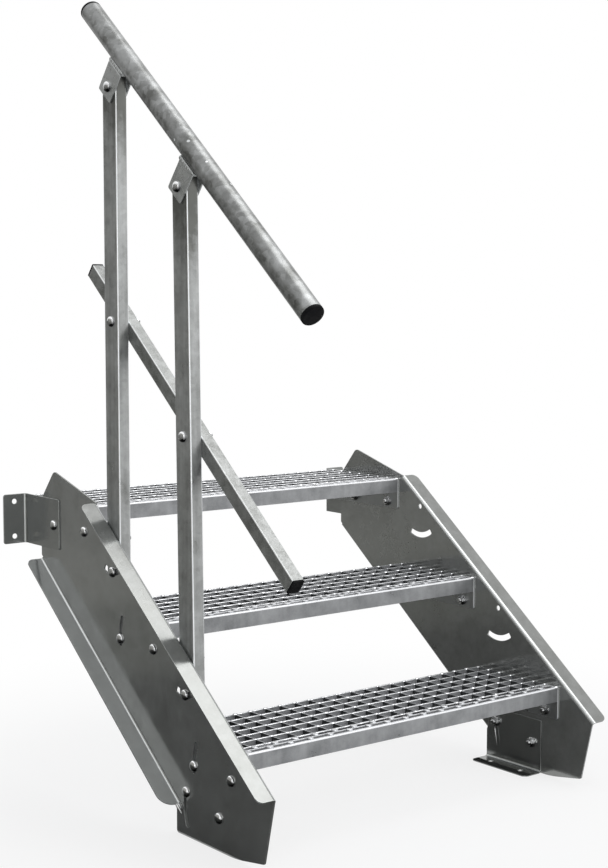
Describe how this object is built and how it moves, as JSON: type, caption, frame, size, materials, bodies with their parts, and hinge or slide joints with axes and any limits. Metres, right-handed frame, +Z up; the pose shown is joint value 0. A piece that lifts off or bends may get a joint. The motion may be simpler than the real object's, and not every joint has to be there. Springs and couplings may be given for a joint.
{
  "type": "steel wall stair",
  "caption": "Bolted galvanised steel stair with open grating treads between folded strings, a tube handrail and knee rail on the left, and brackets for floor and wall.",
  "frame": {"origin": "on the floor, under the middle of the left foot plate", "axes": "+Z up, +Y back towards the wall that the stair climbs to, +X from the left string to the right string"},
  "size_m": [0.914, 0.9902, 1.5725],
  "materials": {
    "galvanised_sheet": "dull hot-dip zinc on folded sheet",
    "galvanised_bracket": "dull hot-dip zinc on thick plate",
    "galvanised_grating": "bright zinc with drips and streaks",
    "galvanised_tube": "zinc with blotches and spangle",
    "zinc_fastener": "bright zinc plate on bolts, nuts and washers",
    "black_plastic": "moulded black plastic"
  },
  "bodies": {
    "root": {"foot_bracket_left": "galvanised_bracket", "foot_bracket_right": "galvanised_bracket", "handrail": "galvanised_tube", "handrail_cap_lower": "black_plastic", "handrail_cap_upper": "black_plastic", "handrail_saddle_front": "galvanised_bracket", "handrail_saddle_rear": "galvanised_bracket", "knee_rail": "galvanised_tube", "knee_rail_cap_lower": "black_plastic", "knee_rail_cap_upper": "black_plastic", "post_front": "galvanised_tube", "post_rear": "galvanised_tube", "string_left": "galvanised_sheet", "string_right": "galvanised_sheet", "tread_1_back_bar": "galvanised_grating", "tread_1_end_plate_left": "galvanised_grating", "tread_1_end_plate_right": "galvanised_grating", "tread_1_grating": "galvanised_grating", "tread_1_nosing": "galvanised_grating", "tread_2_back_bar": "galvanised_grating", "tread_2_end_plate_left": "galvanised_grating", "tread_2_end_plate_right": "galvanised_grating", "tread_2_grating": "galvanised_grating", "tread_2_nosing": "galvanised_grating", "tread_3_back_bar": "galvanised_grating", "tread_3_end_plate_left": "galvanised_grating", "tread_3_end_plate_right": "galvanised_grating", "tread_3_grating": "galvanised_grating", "tread_3_nosing": "galvanised_grating", "wall_bracket_left": "galvanised_bracket", "wall_bracket_right": "galvanised_bracket"}
  },
  "joints": []
}
